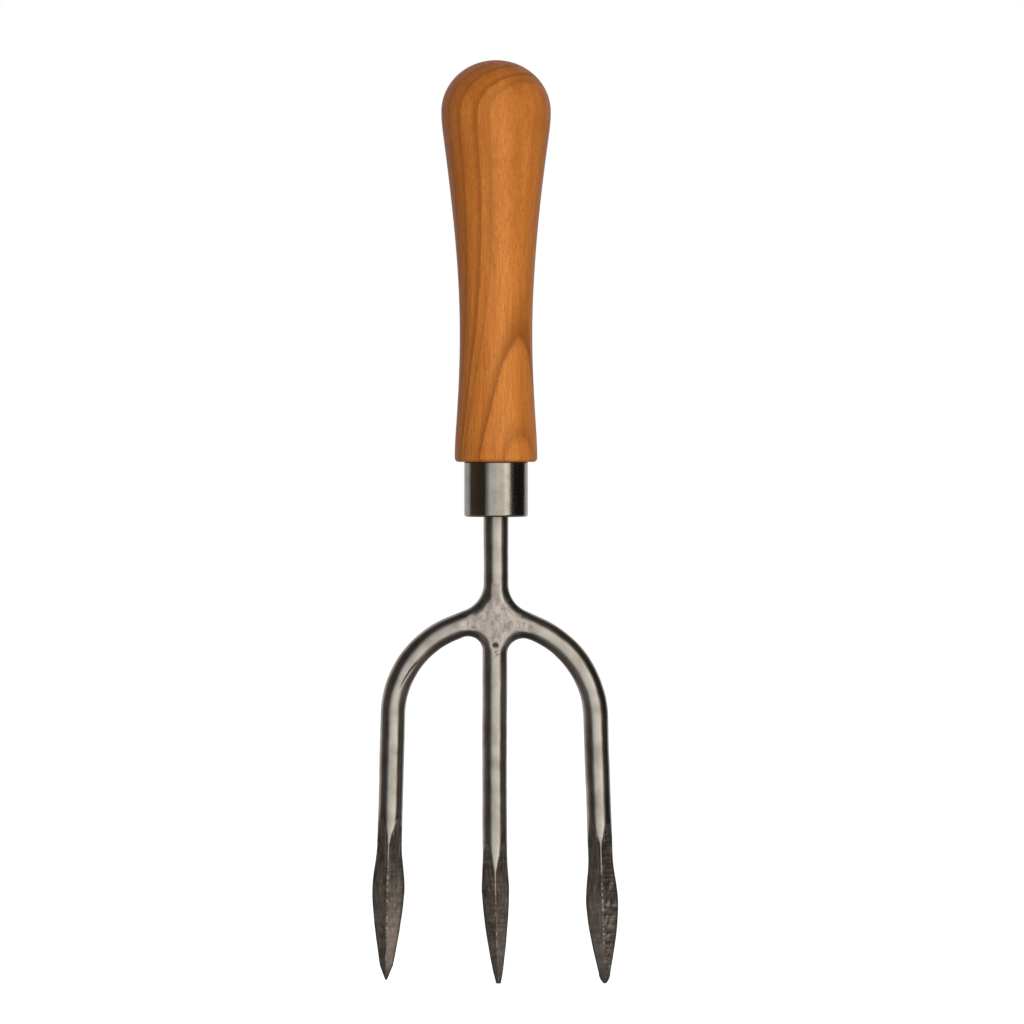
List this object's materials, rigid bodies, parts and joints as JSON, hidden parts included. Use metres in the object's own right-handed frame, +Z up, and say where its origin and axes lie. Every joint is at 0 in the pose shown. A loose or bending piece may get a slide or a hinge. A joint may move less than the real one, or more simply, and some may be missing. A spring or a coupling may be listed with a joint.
{
  "type": "hand cultivator",
  "caption": "Hand fork for weeding and loosening soil: a turned wooden handle, a steel ferrule and round tines with spear points on one forged crown.",
  "frame": {"origin": "centre of the ferrule's lower end, where the neck leaves it", "axes": "+Z up along the handle towards its domed end, so the tines hang along -Z; +X across the tines; -Y is the front"},
  "size_m": [0.0777, 0.0344, 0.2903],
  "materials": {
    "handle_wood": "oiled, satin",
    "ferrule_steel": "polished",
    "bar_steel": "satin, with dark forging scale on the points"
  },
  "bodies": {
    "root": {"handle": "handle_wood", "ferrule": "ferrule_steel", "neck_and_tang": "bar_steel", "crown": "bar_steel", "left_tine": "bar_steel", "middle_tine": "bar_steel", "right_tine": "bar_steel"}
  },
  "joints": []
}
